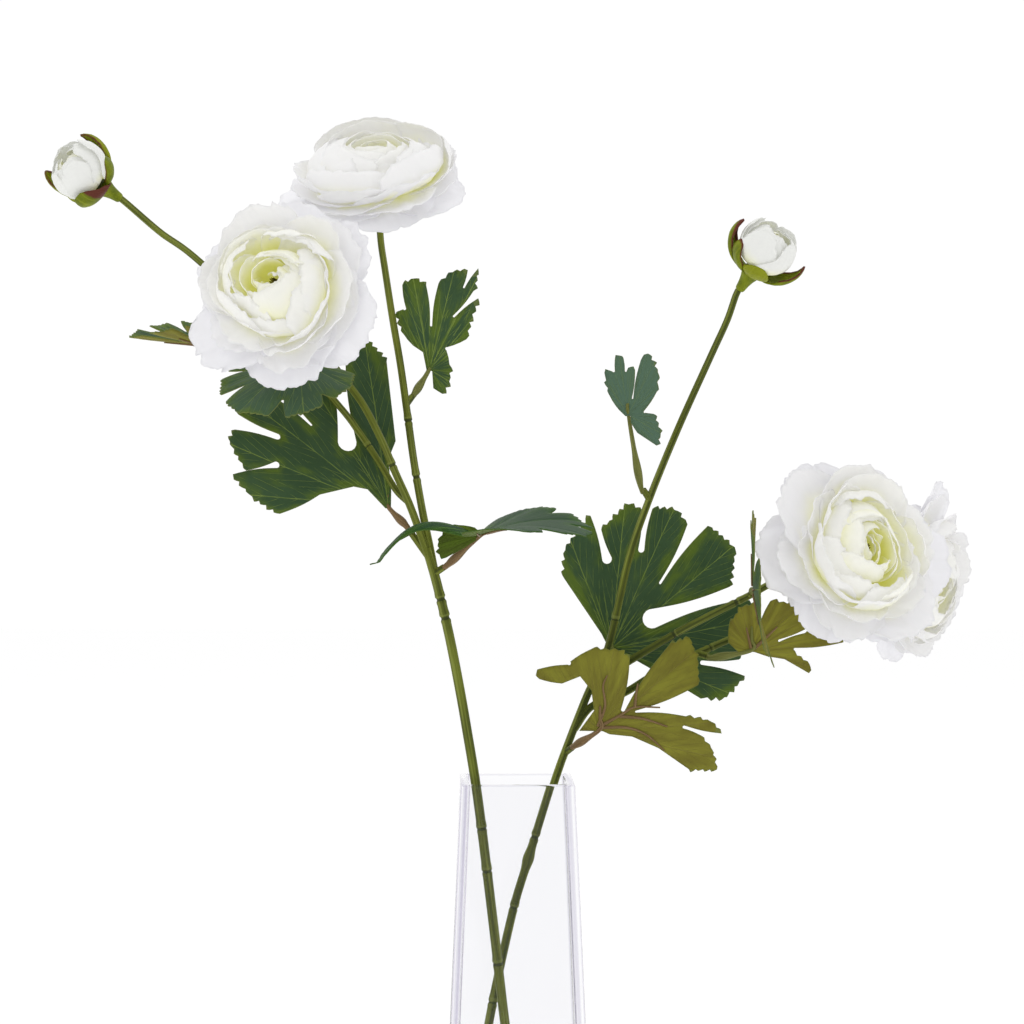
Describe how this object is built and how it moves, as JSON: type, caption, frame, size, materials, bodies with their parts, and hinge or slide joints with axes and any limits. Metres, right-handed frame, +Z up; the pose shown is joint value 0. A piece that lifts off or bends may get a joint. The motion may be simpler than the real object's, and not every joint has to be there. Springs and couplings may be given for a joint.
{
  "type": "faux ranunculus stems in a vase",
  "caption": "Branching white ranunculus stems with full layered blooms, round buds and lobed green leaves, standing in a tall tapered square clear vase.",
  "frame": {"origin": "centre of the vase's flat underside", "axes": "+Z up along the vase, -Y the front that the picture sees, +X to the picture's right"},
  "size_m": [0.4497, 0.1894, 0.5648],
  "materials": {
    "clear_vase": "clear, polished, with faint grey edges",
    "white_petal": "soft white cloth with fine creases, yellow-green at the heart",
    "stem_green": "moulded, satin, with small collars",
    "leaf_green": "dark green cloth with light veins",
    "leaf_underside_olive": "olive cloth with tan ribs",
    "sepal_green": "moulded green with red-brown tips",
    "eye_green": "dark olive"
  },
  "bodies": {
    "root": {"vase": "clear_vase", "stem_left": "stem_green", "stem_right": "stem_green", "bloom_left_front": "white_petal", "bloom_left_top": "white_petal", "bloom_right_front": "white_petal", "bloom_right_back": "white_petal", "bud_left": "white_petal", "bud_right": "white_petal", "eye_left_front": "eye_green", "eye_left_top": "eye_green", "eye_right_front": "eye_green", "eye_right_back": "eye_green", "calyx_left_front": "sepal_green", "calyx_left_top": "sepal_green", "calyx_right_front": "sepal_green", "calyx_right_back": "sepal_green", "bud_calyx_left": "sepal_green", "bud_calyx_right": "sepal_green", "leaf_left_large": "leaf_green", "leaf_left_front": "leaf_green", "leaf_left_upper": "leaf_green", "leaf_left_side": "leaf_green", "leaf_left_flat": "leaf_green", "leaf_right_large": "leaf_green", "leaf_right_low": "leaf_underside_olive", "leaf_right_upper": "leaf_green", "leaf_right_edge": "leaf_green", "leaf_right_side": "leaf_underside_olive"}
  },
  "joints": []
}
